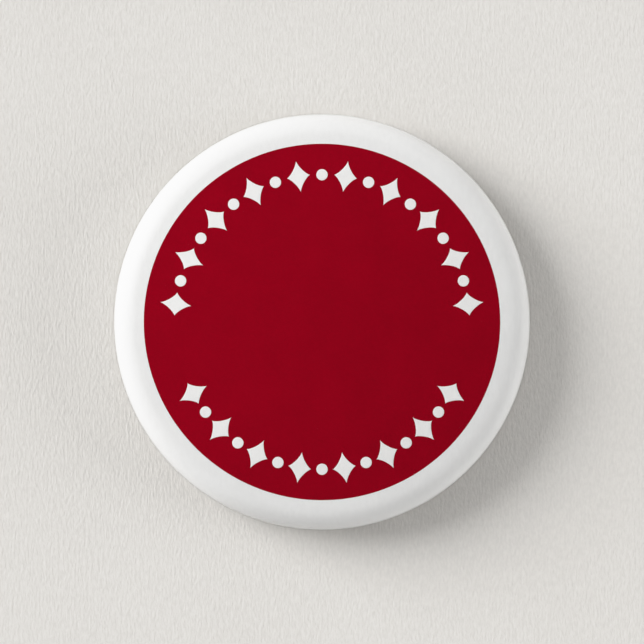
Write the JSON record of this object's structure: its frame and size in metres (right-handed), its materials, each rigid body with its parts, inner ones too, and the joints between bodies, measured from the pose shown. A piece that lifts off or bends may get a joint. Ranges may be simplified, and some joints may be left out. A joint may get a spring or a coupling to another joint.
{
  "type": "button badge",
  "caption": "Round pin-back button badge: domed steel face with a printed disc under clear film, hemmed over a back plate that carries a hinged safety pin.",
  "frame": {"origin": "on the badge's axis at its lowest plane, where the safety pin's cap and coil touch the table as the badge lies face up", "axes": "+Z along the badge's axis, out of the printed face; +Y towards the top of the printed face; +X towards the right of the printed face, along the safety pin from its coil to its cap"},
  "size_m": [0.0318, 0.0318, 0.0051],
  "materials": {
    "clear_film": "clear glossy polyester film",
    "printed_paper": "white coated paper printed with a dark red disc",
    "tinplate": "bright rolled tinplate",
    "nickel_wire": "drawn nickel-plated steel wire",
    "nickel_sheet": "polished nickel-plated sheet steel"
  },
  "bodies": {
    "root": {"film_cover": "clear_film", "print_sheet": "printed_paper", "front_shell": "tinplate", "back_plate": "tinplate"},
    "safety_pin": {"pin_spine": "nickel_wire", "pin_cap": "nickel_sheet"},
    "coil": {"pin_coil": "nickel_wire"},
    "needle": {"pin_needle": "nickel_wire"}
  },
  "joints": [
    {"name": "pin_swivel", "type": "hinge", "parent": "root", "child": "safety_pin", "pos_m": [0, -0.0023, 0.00118], "axis": [-1, 0, 0], "range_deg": [0, 80]},
    {"name": "needle_squeeze", "type": "hinge", "parent": "safety_pin", "child": "coil", "pos_m": [-0.01056, -0.0008, 0.00077], "axis": [0, 0, -1], "range_deg": [0, 4], "stiffness_Nm_per_rad": 0.02, "springref_deg": -5.73},
    {"name": "needle_open", "type": "hinge", "parent": "coil", "child": "needle", "pos_m": [-0.01076, 0.00069, 0.00038], "axis": [0, 0.9063, -0.4226], "range_deg": [0, 20], "stiffness_Nm_per_rad": 0.02}
  ]
}
